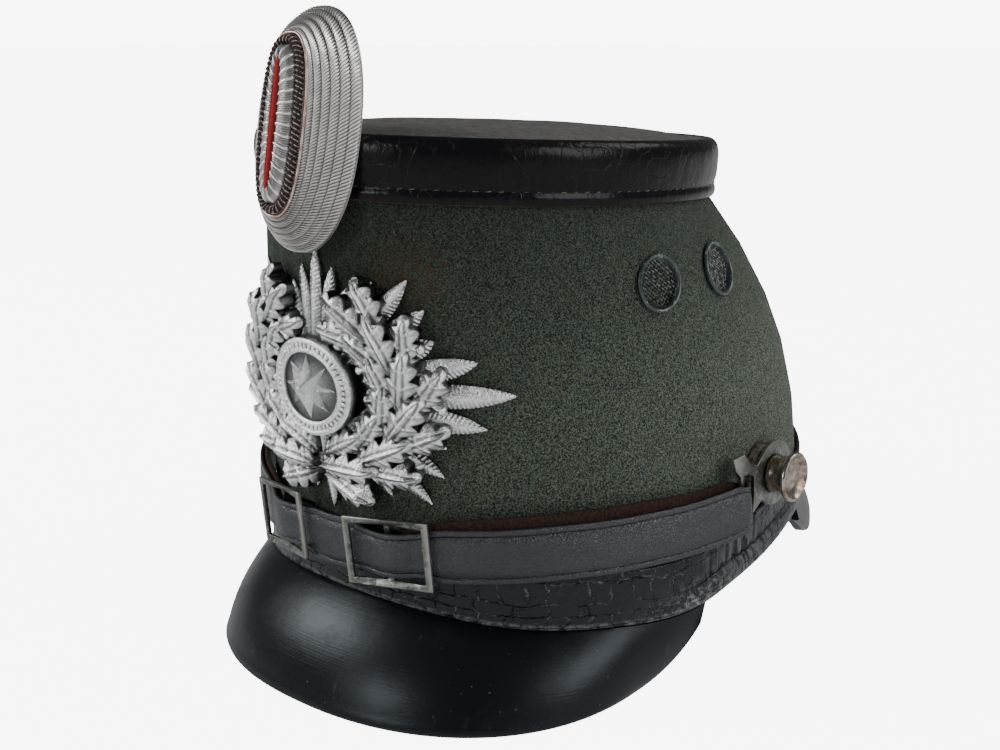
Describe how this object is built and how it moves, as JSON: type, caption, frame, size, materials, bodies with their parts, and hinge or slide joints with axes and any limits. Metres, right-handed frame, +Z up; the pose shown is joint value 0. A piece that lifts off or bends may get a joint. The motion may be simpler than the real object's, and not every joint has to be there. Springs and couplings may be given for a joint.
{
  "type": "shako_hat",
  "caption": "Tall stiff felt hat that narrows to a leather crown, with front and rear peaks, a chin strap and an oval cockade, worn on the head",
  "frame": {"origin": "centre of the bounding box's bottom face, on the surface that the hat stands on", "axes": "+Z up, -Y is the front of the hat, +X is the wearer's left"},
  "size_m": [0.2012, 0.2556, 0.2045],
  "materials": {
    "green_felt": "thick wool felt, field green with a paler fleck",
    "black_leather": "black lacquered leather with fine age cracks",
    "lacquered_fibre": "glossy black lacquer on vulcanised fibre",
    "strap_leather": "grained black leather with creased edges",
    "cast_aluminium": "bright cast relief with dark recesses",
    "grey_steel": "dull grey, worn bright on the edges",
    "worn_nickel": "nickel plating worn to the brass",
    "green_paint": "satin green paint, rubbed",
    "wire_gauze": "dark woven wire",
    "silver_thread": "ribbed silver metal thread",
    "dark_cord": "dark brown twisted cord with pale flecks",
    "red_cloth": "red wool cloth"
  },
  "bodies": {
    "root": {"body": "green_felt", "crown": "black_leather", "base_band": "black_leather", "front_peak": "lacquered_fibre", "rear_peak": "lacquered_fibre", "chin_strap": "strap_leather", "badge": "cast_aluminium", "cockade_shell": "silver_thread", "cockade_cord": "dark_cord", "cockade_pad": "silver_thread", "cockade_core": "red_cloth", "buckle_left": "grey_steel", "strap_hook_left": "grey_steel", "washer_left": "strap_leather", "knob_left": "worn_nickel", "vent_ring_left_front": "green_paint", "vent_mesh_left_front": "wire_gauze", "vent_ring_left_back": "green_paint", "vent_mesh_left_back": "wire_gauze", "buckle_right": "grey_steel", "strap_hook_right": "grey_steel", "washer_right": "strap_leather", "knob_right": "worn_nickel", "vent_ring_right_front": "green_paint", "vent_mesh_right_front": "wire_gauze", "vent_ring_right_back": "green_paint", "vent_mesh_right_back": "wire_gauze"}
  },
  "joints": []
}
